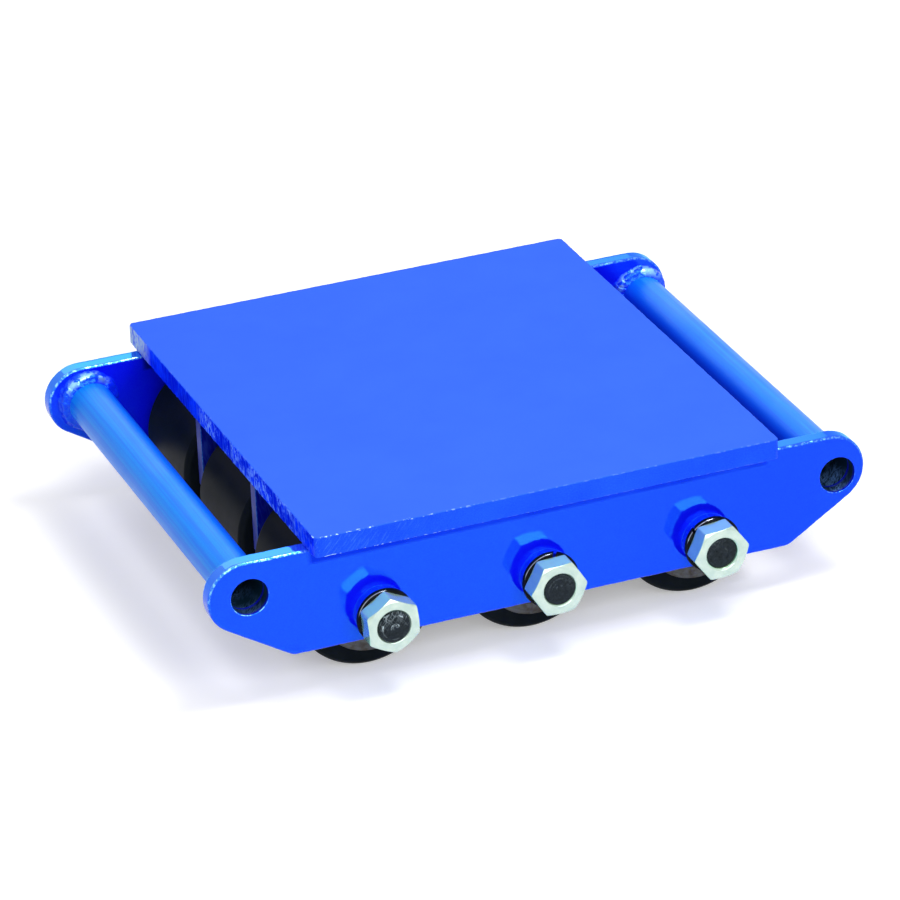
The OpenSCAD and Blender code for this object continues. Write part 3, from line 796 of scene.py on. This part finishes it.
# Side plates: round lugs and a straight foot, joined by slopes that touch both rounds
sideShape = {
    "lug": 0.0215, "footHalf": 0.1495, "footRound": 0.008, "bore": 0.011, "axleHole": 0.01025,
    "rim": 0.0014, "rimSwing": 0.25, "rimWave": 0.014, "boreRim": 0.0005, "lit": (0.3, 1.0),
    "spacing": 0.001,
}
tubeBoxes = [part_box("tow_tube_left"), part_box("tow_tube_right")]
axleBoxes = {name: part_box("axle_" + name) for name in columnNames}


def centreXZ(low, high):
    return np.array([(low.x + high.x) / 2, (low.z + high.z) / 2])


boreCentres = [centreXZ(*box) for box in tubeBoxes]
axleCentres = {name: centreXZ(*box) for name, box in axleBoxes.items()}


def holesAt(centres, radius, steps):
    return [arc(centre, radius, fullTurn, 0, steps + 1)[:-1] for centre in centres]


def sideOutline(shape, low, high):
    lug = np.array([high.x - shape["lug"], high.z - shape["lug"]])
    foot = np.array([shape["footHalf"], low.z + shape["footRound"]])
    run = lug - foot
    slope = math.atan2(run[1], run[0]) - math.acos((shape["footRound"] - shape["lug"]) / np.hypot(*run))
    right = np.vstack([
        arc(foot, shape["footRound"], -quarterTurn, slope, 12),
        arc(lug, shape["lug"], slope, quarterTurn, 60),
    ])
    return np.vstack([right, (right * (-1, 1))[::-1]])


def makeSidePlate(shape, name, node, seed):
    low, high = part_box(node)
    loop, s, total = evenly(sideOutline(shape, low, high), shape["spacing"])
    holes = holesAt(boreCentres, shape["bore"], 96) + holesAt(axleCentres.values(), shape["axleHole"], 64)
    rim = shape["rim"] * (1 + shape["rimSwing"] * wander(s, total, shape["rimWave"], seed))
    edges = [rim] + [shape["boreRim"]] * len(holes)
    part = slab([loop] + holes, edges, low.y, high.y, onXZ, lit=shape["lit"])
    addPiece(name, [part], sidePaint, "frame", "frame_paint", node)


makeSidePlate(sideShape, "sidePlateNear", "side_plate_near", 31)
makeSidePlate(sideShape, "sidePlateFar", "side_plate_far", 37)
print("side plates made")

# Ribs between the bays, with their lower corners cut off
ribShape = {
    "cut": 0.016, "edge": 0.0005, "edgeSwing": 0.5, "edgeWave": 0.01, "axleHole": 0.01025,
    "spacing": 0.001,
}


def makeRib(shape, name, node, seed):
    low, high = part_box(node)
    x, cut = high.x, shape["cut"]
    half = np.array([[0, low.z], [x - cut, low.z], [x, low.z + cut], [x, high.z]])
    corners = np.vstack([half, (half * (-1, 1))[::-1][:-1]])
    loop, s, total = evenly(corners, shape["spacing"])
    holes = holesAt(axleCentres.values(), shape["axleHole"], 64)
    edge = shape["edge"] * (1 + shape["edgeSwing"] * wander(s, total, shape["edgeWave"], seed))
    part = slab([loop] + holes, [edge] + [shape["edge"]] * len(holes), low.y, high.y, onXZ)
    addPiece(name, [part], ribShadedPaint, "frame", "worn_paint", node)


makeRib(ribShape, "ribNear", "rib_near", 41)
makeRib(ribShape, "ribFar", "rib_far", 43)
print("ribs made")

# Tow tubes, with the slight waviness of drawn pipe, and their welds
tubeShape = {"bore": 0.011, "wave": 0.00006, "waveLength": 0.09, "rows": 80, "steps": 128}
tubeWeldShape = {
    "leg": 0.0058, "ripple": 0.0045, "depth": 0.07, "lump": 0.14, "runs": 2.0, "runDepth": 0.07,
    "steps": 420, "lugMargin": 0.0006, "glintTurn": 98.0, "glintGain": 1.7, "glintLess": 0.8,
    "leastRoom": 0.0012, "placeSwing": 0.35, "placeWave": 1.1, "lumpWave": 1.6, "drift": 0.25,
    "driftWave": 1.3, "lean": 2.0,
}
sideNear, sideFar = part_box("side_plate_near"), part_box("side_plate_far")
innerFaces = ((sideNear[1].y, 1.0), (sideFar[0].y, -1.0))   # place along Y and the way into the bay


def makeTube(shape, name, node, centre, seed):
    low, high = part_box(node)
    radius = (high.z - low.z) / 2
    y = np.linspace(low.y, high.y, shape["rows"])
    outer = radius - shape["wave"] * (1 + wander(y - low.y, high.y - low.y, shape["waveLength"], seed))
    profile = np.vstack([np.stack([outer, y], -1), np.stack([np.full(2, shape["bore"]), y[[-1, 0]]], -1)])
    part = turned(profile, *centre, shape["steps"])
    part["inside"] = np.repeat(profile[:, 0] < radius - 0.001, shape["steps"]).astype(float)
    addPiece(name, [part], tubePaint, "frame", "tube_paint", node)
    return radius


tubeRadius = makeTube(tubeShape, "towTubeLeft", "tow_tube_left", boreCentres[0], 51)
makeTube(tubeShape, "towTubeRight", "tow_tube_right", boreCentres[1], 53)


def rippled(place, p, shape):
    # Each ripple of a bead starts high and falls away to the next: 1 - depth f^2, where f is the share of
    # the way through it. It lags towards both walls, by lean (p - 1/2)^2 at a share p of the way over
    slanted = place[:, None] + shape["lean"] * (p - 0.5) ** 2
    return 1 - shape["depth"] * (slanted - np.floor(slanted)) ** 2


def makeTubeWelds(shape):
    parts = []
    lugX, lugZ = sideNear[1].x - sideShape["lug"], sideNear[1].z - sideShape["lug"]
    a = np.arange(shape["steps"]) * fullTurn / shape["steps"]
    outwards = np.stack([np.cos(a), np.zeros_like(a), np.sin(a)], -1)
    # Painted highlight on the weld: its edge value is strongest on the side of the ring that faces the light
    facing = np.cos(a - math.radians(shape["glintTurn"]))
    lit = np.clip(shape["glintGain"] * facing - shape["glintLess"], 0, 1)
    for k, centre in enumerate(boreCentres):
        # Room on the lug in each direction: how far its circle, or the plate, reaches beyond the tube
        side = (-1, 1)[k]
        offset = centre - np.array([side * lugX, lugZ])
        along = outwards[:, 0] * offset[0] + outwards[:, 2] * offset[1]
        reach = -along + np.sqrt(along ** 2 + sideShape["lug"] ** 2 - offset @ offset)
        reach = np.where(side * (centre[0] + reach * outwards[:, 0]) < lugX, reach + 0.01, reach)
        topRoom = (sideNear[1].z - centre[1]) / np.maximum(outwards[:, 2], 1e-6)
        room = np.where(outwards[:, 2] > 0, np.minimum(reach, topRoom), reach)
        room = room - tubeRadius - shape["lugMargin"]
        for m, (faceY, inwards) in enumerate(innerFaces):
            seed = 60 + 2 * k + m
            turns = round(fullTurn * tubeRadius / shape["ripple"])
            swing = wander(a, fullTurn, shape["placeWave"], seed)
            place = turns * a / fullTurn + shape["placeSwing"] * swing
            p = np.linspace(0, 1, beadSteps)[None, :]   # from the lug to the tube
            size = shape["leg"] * (1 + shape["lump"] * wander(a, fullTurn, shape["lumpWave"], seed + 9))
            leg = size[:, None] * rippled(place, p, shape)
            drift = shape["drift"] * wander(a, fullTurn, shape["driftWave"], seed + 5)[:, None]
            leg = leg * (1 + shape["runDepth"] * np.cos(fullTurn * (shape["runs"] * p + drift)))
            # Held smoothly to the room on the lug: leg / (1 + (leg cos p / room)^6)^(1/6)
            across = leg * np.cos(p * quarterTurn) / np.maximum(room, shape["leastRoom"])[:, None]
            leg = leg / (1 + across ** 6) ** (1 / 6)
            corner = np.array([centre[0], faceY, centre[1]]) + outwards * tubeRadius
            inwardAxis = np.tile([0.0, inwards, 0.0], (len(a), 1))
            parts.append(bead(corner, inwardAxis, outwards, leg, True, lit))
    addPiece("tubeWeldBeads", parts, weldPaint, "frame", "tube_paint", "tube_welds", sharp=60)


makeTubeWelds(tubeWeldShape)
print("tow tubes and their welds made")

# Welds under the load plate: long beads along the side plates, stitches along the ribs
plateWeldShape = {
    "leg": 0.005, "ripple": 0.0026, "depth": 0.16, "spacing": 0.0005, "setback": 0.010,
    "stitch": 0.040, "stitches": 3, "endRun": 0.006, "placeSwing": 0.4, "placeWave": 0.03,
    "lump": 0.08, "lumpWave": 0.02, "lean": 2.0,
}


def straightBead(shape, x0, x1, wallY, outward, seed):
    # The bead's leg grows and falls as a half ellipse over its first and last few millimetres
    length = x1 - x0
    s = np.linspace(0, length, int(length / shape["spacing"]))
    ends = np.clip(np.minimum(s, length - s) / shape["endRun"], 0.02, 1)
    taper = np.sqrt(1 - (1 - ends) ** 2)
    place = s / shape["ripple"] + shape["placeSwing"] * wander(s, length, shape["placeWave"], seed)
    p = np.linspace(0, 1, beadSteps)[None, :]
    lumps = 1 + shape["lump"] * wander(s, length, shape["lumpWave"], seed + 1)
    leg = (shape["leg"] * taper * lumps)[:, None] * rippled(place, p, shape)
    corner = np.stack([x0 + s, np.full_like(s, wallY), np.full_like(s, plateLow.z)], -1)
    out = np.tile([0.0, outward, 0.0], (len(s), 1))
    down = np.tile([0.0, 0.0, -1.0], (len(s), 1))
    return bead(corner, out, down, leg, False)


def makePlateWelds(shape):
    end = plateHigh.x - shape["setback"]
    runs = [(low, high, -end, end) for low, high in (sideNear, sideFar)]
    beads = []
    for low, high in (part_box("rib_near"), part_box("rib_far")):
        first = low.x + shape["setback"]
        step = (high.x - low.x - 2 * shape["setback"] - shape["stitch"]) / (shape["stitches"] - 1)
        starts = [first + k * step for k in range(shape["stitches"])]
        runs += [(low, high, start, start + shape["stitch"]) for start in starts]
    for low, high, x0, x1 in runs:
        for wallY, outward in ((low.y, -1.0), (high.y, 1.0)):
            beads.append(straightBead(shape, x0, x1, wallY, outward, 80 + 3 * len(beads)))
    addPiece("plateWeldBeads", beads, weldPaint, "frame", "frame_paint", "plate_welds", sharp=60)


makePlateWelds(plateWeldShape)
print("plate welds made")

# Axles and what sits on them outside the side plates. Depths are from the side plate outwards
axleShape = {
    "end": 0.00935, "neck": 0.0024, "round": {"left": 0.0009, "middle": 0.0008, "right": 0.0006},
    "dome": {"left": 0.0007, "middle": 0.0003, "right": 0.0001},
}


def makeAxle(shape, name):
    low, high = axleBoxes[name]
    radius = (high.z - low.z) / 2
    t = np.linspace(0, quarterTurn, 8)
    dome, edge = shape["dome"][name], shape["round"][name]
    # From the axis outwards the end falls by dome (r/R)^2, rounds into the neck, and the neck meets the bar
    flatTo = shape["end"] - edge
    domed = np.linspace(0, flatTo, 12)
    r = np.concatenate([domed, flatTo + edge * np.sin(t[1:]), [shape["end"], radius]])
    fall = np.concatenate([
        dome * (domed / flatTo) ** 2,
        dome + edge * (1 - np.cos(t[1:])),
        [shape["neck"], shape["neck"]],
    ])
    profile = np.vstack([np.stack([r, high.y - fall], -1), np.stack([r, low.y + fall], -1)[::-1]])
    part = turned(profile, *axleCentres[name], closed=False)
    addPiece("axle" + name.capitalize(), [part], axleSteel, "frame", "black_steel", "axle_" + name)


for columnName in columnNames:
    makeAxle(axleShape, columnName)

bossShape = {"fillet": 0.0004, "edge": 0.0002, "hole": 0.01025}
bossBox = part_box("axle_bosses")
bossRadius = axleCentres["left"][0] - bossBox[0].x
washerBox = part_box("spring_washers")
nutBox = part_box("axle_nuts")


def makeBosses(shape):
    parts = []
    depth = bossBox[1].y - sideFar[1].y
    f, e = shape["fillet"], shape["edge"]
    t = np.linspace(0, quarterTurn, 6)
    # Profile of radius and depth: the hole, the foot's hollow fillet, the wall and the rounded outer edge
    foot = np.stack([bossRadius + f * (1 - np.sin(t)), f * (1 - np.cos(t))], -1)
    rim = np.stack([bossRadius - e * (1 - np.cos(t)), depth - e * (1 - np.sin(t))], -1)
    profile = np.vstack([[[shape["hole"], 0.0]], foot, rim, [[shape["hole"], depth]]])
    for name in columnNames:
        for faceY, outward in ((sideNear[0].y, -1.0), (sideFar[1].y, 1.0)):
            placed = np.stack([profile[:, 0], faceY + outward * profile[:, 1]], -1)
            parts.append(turned(placed, *axleCentres[name]))
    addPiece("axleBosses", parts, bossPaint, "frame", "frame_paint", "axle_bosses")


makeBosses(bossShape)

washerShape = {
    "edge": 0.0019, "hole": 0.01025, "smaller": 0.0006, "glintAt": 0.85, "glintWidth": 0.0011,
    "glintReach": 1.15, "glintTurn": 2.2, "glintGain": 1.5, "glintLess": 0.3, "spacing": 0.0005,
    "split": 0.0018, "slant": 30.0, "rise": 0.0005,
    "splitTurns": {"left": 200.0, "middle": 79.0, "right": 134.0},
}


def makeWashers(shape):
    # A softened rectangle carried almost once round, its ends cut along a slant and a little apart in height
    parts = []
    low = bossBox[1].y
    radius = washerBox[1].x - axleCentres["right"][0] - shape["smaller"]
    thick = washerBox[1].y - low - shape["rise"]
    corners = [(shape["hole"], 0), (radius, 0), (radius, thick), (shape["hole"], thick)]
    section = evenly(softened(corners, shape["edge"], 6)[:, 0], shape["spacing"])[0]
    t = np.linspace(0, 1, 120)
    gap = shape["split"] / radius
    slope = math.tan(math.radians(shape["slant"])) / radius
    for name in columnNames:
        x, z = axleCentres[name]
        for outward in (-1.0, 1.0):
            shear = (section[:, 1] - thick / 2) * slope
            start = math.radians(shape["splitTurns"][name]) + gap / 2
            a = start + shear[None, :] + t[:, None] * (fullTurn - gap)
            y = outward * (low + section[None, :, 1] + shape["rise"] * t[:, None])
            points = np.stack([x + section[:, 0] * np.cos(a), y, z + section[:, 0] * np.sin(a)], -1)
            faces = [gridFaces(len(t), len(section), False, True)] + endFaces(len(t), len(section))
            # The edge value is a painted highlight arc round the outer rim, on the side that faces the light
            fromRim = np.hypot(section[:, 0] - radius, section[:, 1] - shape["glintAt"] * thick)
            near = np.clip(shape["glintReach"] - fromRim / shape["glintWidth"], 0, 1)
            lit = np.clip(shape["glintGain"] * np.cos(a - shape["glintTurn"]) - shape["glintLess"], 0, 1)
            rim = (lit * near[None, :]).ravel()
            parts.append({"points": points.reshape(-1, 3), "faces": faces, "edge": rim})
    addPiece("springWashers", parts, washerSteel, "frame", "washer_steel", "spring_washers")


makeWashers(washerShape)

nutShape = {
    "flats": 0.030, "cornerCut": 0.0026, "chamfer": 30.0, "bore": 0.0094, "sink": 0.0010,
    "edge": 0.0004, "cornerRound": 0.0004, "cornerSpare": 0.0004, "faceInside": 0.0002,
    "leastFall": 0.00012, "foot": 0.0003, "boreFoot": 0.0006,
    "turns": {"left": 34.0, "middle": 2.0, "right": 6.0}, "steps": 288,
}


def makeNuts(shape):
    # Radius of a hexagon along a: flat / cos(a from the nearest flat), drawn in smoothly at the corners. The
    # outer face is cut back by a cone from the face circle outwards
    parts = []
    a = np.arange(shape["steps"]) * fullTurn / shape["steps"]
    flat, bore, sink, cornerRound = shape["flats"] / 2, shape["bore"], shape["sink"], shape["cornerRound"]
    foot, boreFoot = shape["foot"], shape["boreFoot"]
    corner = flat / math.cos(math.pi / 6)
    height = nutBox[1].y - washerBox[1].y
    slope = math.tan(math.radians(shape["chamfer"]))
    for name in columnNames:
        fromFlat = (a - math.radians(shape["turns"][name])) % (math.pi / 3) - math.pi / 6
        sharpRadius = flat / np.cos(fromFlat)
        limit = corner - cornerRound + shape["cornerSpare"]
        radius = -cornerRound * np.log(np.exp(-sharpRadius / cornerRound) + np.exp(-limit / cornerRound))
        radius = np.minimum(radius, sharpRadius)
        face = np.minimum(corner - shape["cornerCut"], radius - shape["faceInside"])
        fall = np.maximum((radius - face) * slope, shape["leastFall"])
        # Radius and height of each corner of the section, from the bore's inner end round to its outer end
        section = (
            (bore, boreFoot), (bore + boreFoot, 0), (radius - foot, 0), (radius, foot),
            (radius, height - fall), (face, height), (bore + sink, height), (bore, height - sink),
        )
        corners = np.stack([np.stack(np.broadcast_arrays(r, h, a)[:2], -1) for r, h in section])
        profile = softened(corners, shape["edge"], 5)
        for outward in (-1.0, 1.0):
            placed = np.stack([profile[..., 0], outward * (washerBox[1].y + profile[..., 1])], -1)
            parts.append(turned(placed, *axleCentres[name], shape["steps"]))
    addPiece("axleNuts", parts, zinc, "frame", "zinc", "axle_nuts", sharp=50)


makeNuts(nutShape)
print("axles, bosses, washers and nuts made")

# Rollers: a nylon tyre on a steel core
tyreShape = {"chamfer": 0.0025, "round": 0.0012, "steps": 128}
coreShape = {"chamfer": 0.0008, "seat": 0.016, "bearing": 0.0235, "bore": 0.020, "steps": 96}


def makeRoller(column, row):
    label, key = column.capitalize() + row.capitalize(), column + "_" + row
    centre, body = axleCentres[column], "roller_" + key
    low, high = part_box("tyre_" + key)
    coreLow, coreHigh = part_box("core_" + key)
    coreRadius = (coreHigh.z - coreLow.z) / 2
    outer, c, edge = (high.z - low.z) / 2, tyreShape["chamfer"], tyreShape["round"]
    corners = [
        (coreRadius, low.y), (outer - c, low.y), (outer, low.y + c),
        (outer, high.y - c), (outer - c, high.y), (coreRadius, high.y),
    ]
    profile = softened(corners, [0.0001, edge, edge, edge, edge, 0.0001], 6)
    tyre = turned(profile, *centre, tyreShape["steps"])
    addPiece("tyre" + label, [tyre], tyreNylon, body, "tyre", "tyre_" + key)
    bearing, bore = coreShape["bearing"], coreShape["bore"]
    seatLow, seatHigh = coreLow.y + coreShape["seat"], coreHigh.y - coreShape["seat"]
    corners = [
        (bearing, coreLow.y), (coreRadius, coreLow.y), (coreRadius, coreHigh.y), (bearing, coreHigh.y),
        (bearing, seatHigh), (bore, seatHigh), (bore, seatLow), (bearing, seatLow),
    ]
    core = turned(softened(corners, coreShape["chamfer"], 5), *centre, coreShape["steps"])
    addPiece("core" + label, [core], coreSteel, body, "core_steel", "core_" + key)


for columnName in columnNames:
    for rowName in rowNames:
        makeRoller(columnName, rowName)
print("rollers made")

# The bearings, sleeves and rings keep their own meshes
for nodeName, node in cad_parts.items():
    if nodeName.startswith(("bearing", "balls", "distance")):
        node.data.materials.clear()
        node.data.materials.append(bearingSteel)
print("bearings dressed")

# Studio: a pale floor that shows white to the camera, a white surround and soft lamps
studioLook = {
    "floorColour": (0.82, 0.82, 0.82, 1), "floorSide": 14.0, "floorGlow": 0.34, "farGlow": 0.75,
    "nearBy": 0.7, "farOff": 2.5, "surround": 0.52, "centre": (0.0, 0.0, 0.06),
}
# Each lamp: direction from the object, distance and sides in metres, and how bright its face is
lamps = {
    "overheadSoftbox": {"from": (0.02, -0.20, 0.97), "distance": 1.9, "size": (1.4, 1.0), "bright": 1.0},
    "frontSoftbox": {"from": (0.0, -0.84, 0.52), "distance": 1.8, "size": (1.7, 0.8), "bright": 3.4},
    "backSoftbox": {"from": (0.10, 0.84, 0.50), "distance": 1.9, "size": (1.6, 0.5), "bright": 1.3},
    "keyLamp": {"from": (0.26, -0.17, 0.95), "distance": 1.8, "size": (0.5, 0.5), "bright": 14.0},
}


def showsWhite(owner):
    # 1 for rays from the camera, from reflections and through glass
    path = put(owner, "LightPath").outputs
    seen = calc("MAXIMUM", path["Is Camera Ray"], path["Is Glossy Ray"])
    return calc("MAXIMUM", seen, path["Is Transmission Ray"])


def makeStudio(look):
    material, surface, vector = newMaterial("paleFloor")
    tone = ranged(noiseOf(vector, 3.0, 3.0), 0.3, 0.7)
    pale = look["floorColour"]
    away = put(vector, "VectorMath", {0: vector}, operation="LENGTH").outputs["Value"]
    glow = ranged(away, look["nearBy"], look["farOff"], look["floorGlow"], look["farGlow"])
    feedAll(surface, {
        "Base Color": mixed(tone, pale, [0.99 * c for c in pale[:3]] + [1]),
        "Roughness": 0.9,
        "Specular IOR Level": 0.0,
        "Emission Color": (1, 1, 1, 1),
        "Emission Strength": times(showsWhite(surface), glow),
    })
    side = look["floorSide"]
    corners = [(-side, -side, 0), (side, -side, 0), (side, side, 0), (-side, side, 0)]
    mesh = bpy.data.meshes.new("floor")
    mesh.from_pydata(corners, [], [(0, 1, 2, 3)])
    mesh.materials.append(material)
    floor = bpy.data.objects.new("floor", mesh)
    scene.collection.objects.link(floor)
    scene.world = bpy.data.worlds.new("whiteSurround")
    scene.world.use_nodes = True
    background = scene.world.node_tree.nodes["Background"]
    level = ranged(showsWhite(background), 0.0, 1.0, look["surround"], 1.0)
    feedAll(background, {"Color": (1, 1, 1, 1), "Strength": level})


def makeLamp(name, lamp, centre):
    # An area lamp's power for a face of brightness b is b times pi times its area
    data = bpy.data.lights.new(name, "AREA")
    data.shape = "RECTANGLE"
    data.size, data.size_y = lamp["size"]
    data.energy = lamp["bright"] * math.pi * data.size * data.size_y
    obj = bpy.data.objects.new(name, data)
    scene.collection.objects.link(obj)
    direction = Vector(lamp["from"]).normalized()
    obj.location = Vector(centre) + direction * lamp["distance"]
    obj.rotation_euler = direction.to_track_quat("Z", "Y").to_euler()


makeStudio(studioLook)
for lampName, lampValues in lamps.items():
    makeLamp(lampName, lampValues, studioLook["centre"])
scene.view_settings.view_transform = "Standard"
print("studio lit")
